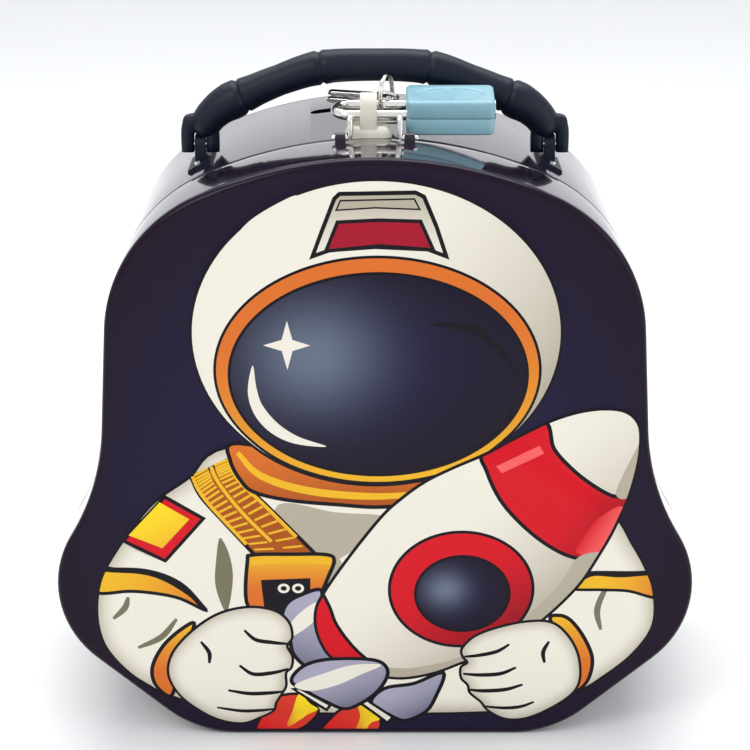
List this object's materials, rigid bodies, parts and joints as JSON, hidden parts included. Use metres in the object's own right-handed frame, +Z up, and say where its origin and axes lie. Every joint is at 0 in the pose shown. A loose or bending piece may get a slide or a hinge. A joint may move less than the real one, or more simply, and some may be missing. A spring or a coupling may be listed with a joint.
{
  "type": "money box",
  "caption": "Pressed-tin money box in a round-shouldered bag shape, with a folding handle, an embossed front that opens forward, a wire hasp and a small padlock.",
  "frame": {"origin": "middle of the flat base", "axes": "+Z up through the handle; the embossed face looks towards -Y; +X runs to the right seen from the front"},
  "size_m": [0.16, 0.0844, 0.1703],
  "materials": {
    "night_tin": "glossy",
    "printed_tin": "glossy",
    "bare_tin": "satin",
    "nickel": "polished",
    "zinc": "satin",
    "brass": "satin",
    "cream_enamel": "satin",
    "navy_plastic": "satin",
    "aqua_plastic": "satin"
  },
  "bodies": {
    "back_shell": {"back_band": "night_tin", "back_panel": "night_tin", "inner_lip": "bare_tin", "hinge_leaf_back": "bare_tin", "hinge_pin": "nickel", "staple": "cream_enamel", "staple_rivets": "nickel", "bracket_left": "navy_plastic", "bracket_right": "navy_plastic", "bracket_rivets": "nickel", "handle_pins": "nickel"},
    "front_shell": {"front_band": "night_tin", "front_panel": "printed_tin", "hinge_leaf_front": "bare_tin", "bail_eyes": "night_tin"},
    "bail": {"wire_bail": "nickel"},
    "handle": {"handle_grip": "navy_plastic"},
    "shackle": {"shackle": "nickel"},
    "lock_body": {"lock_case": "zinc", "cover_upper": "aqua_plastic", "cover_lower": "aqua_plastic", "latch_bolt": "zinc", "latch_spring": "nickel"},
    "plug": {"lock_plug": "brass"},
    "ring": {"key_ring": "nickel"},
    "key_one": {"key_one": "nickel"},
    "key_two": {"key_two": "nickel"}
  },
  "joints": [
    {"name": "lid_open", "type": "hinge", "parent": "back_shell", "child": "front_shell", "pos_m": [0, -0.018, 0.0013], "axis": [1, 0, 0], "range_deg": [0, 90]},
    {"name": "bail_lift", "type": "hinge", "parent": "front_shell", "child": "bail", "pos_m": [0, -0.0215, 0.1519], "axis": [1, 0, 0], "range_deg": [0, 2]},
    {"name": "handle_fold", "type": "hinge", "parent": "back_shell", "child": "handle", "pos_m": [0, 0, 0.14579], "axis": [-1, 0, 0], "range_deg": [0, 62]},
    {"name": "padlock_swing", "type": "hinge", "parent": "back_shell", "child": "shackle", "pos_m": [0, -0.01415, 0.15605], "axis": [1, 0, 0], "range_deg": [-5, 4]},
    {"name": "shackle_pull", "type": "slide", "parent": "shackle", "child": "lock_body", "axis": [1, 0, 0], "range_m": [0, 0.004]},
    {"name": "plug_turn", "type": "hinge", "parent": "lock_body", "child": "plug", "pos_m": [0, -0.01075, 0.15665], "axis": [1, 0, 0], "range_deg": [0, 90]},
    {"name": "ring_swing", "type": "hinge", "parent": "shackle", "child": "ring", "pos_m": [0, -0.00736, 0.15725], "axis": [1, 0, 0], "range_deg": [-3, 3]},
    {"name": "key_one_swing", "type": "hinge", "parent": "ring", "child": "key_one", "pos_m": [0.0039, -0.00396, 0.15674], "axis": [0.2068, 0.6364, 0.7431], "range_deg": [-8, 8]},
    {"name": "key_two_swing", "type": "hinge", "parent": "ring", "child": "key_two", "pos_m": [0.00419, -0.00307, 0.15831], "axis": [0.2068, 0.6364, 0.7431], "range_deg": [-8, 8]}
  ]
}
